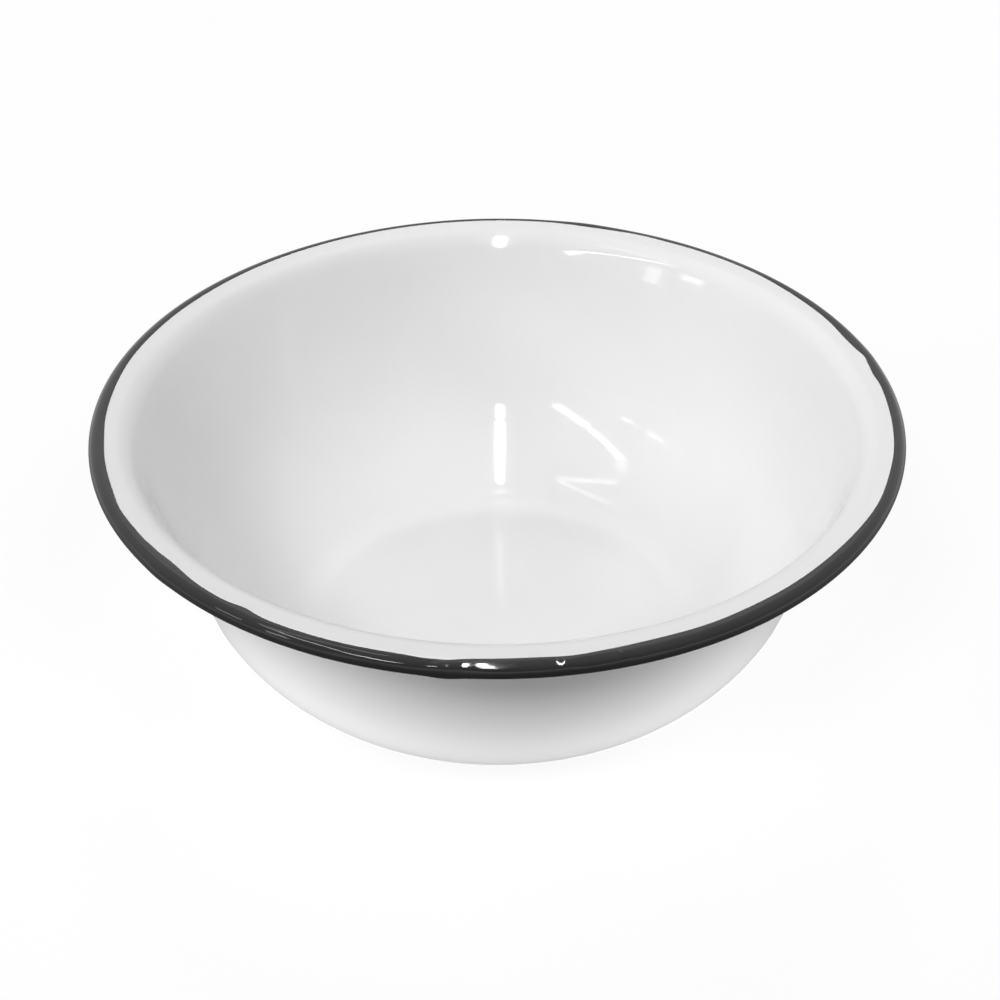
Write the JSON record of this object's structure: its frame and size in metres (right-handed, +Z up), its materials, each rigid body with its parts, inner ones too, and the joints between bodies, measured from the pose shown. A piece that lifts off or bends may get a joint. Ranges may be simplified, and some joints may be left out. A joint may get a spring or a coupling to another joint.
{
  "type": "enamel basin bowl",
  "caption": "Round basin of pressed steel with flared sides, a rolled rim and a flat base, enamelled white inside and out with a black rim band, for water, food or washing.",
  "frame": {"origin": "centre of the flat underside that the bowl stands on", "axes": "+Z up the bowl's axis, out of its mouth; it is round, so X and Y are any pair across it"},
  "size_m": [0.3, 0.3, 0.105],
  "materials": {
    "steel": "bare pressed sheet, hidden under the coats",
    "ground_coat": "dark fired ground coat, hidden but inside the bead",
    "white_enamel": "glossy white vitreous enamel",
    "black_enamel": "glossy black vitreous enamel, brushed on by hand"
  },
  "bodies": {
    "root": {"steel_shell": "steel", "ground_coat_inside": "ground_coat", "ground_coat_outside": "ground_coat", "white_enamel_inside": "white_enamel", "white_enamel_outside": "white_enamel", "rim_enamel": "black_enamel"}
  },
  "joints": []
}
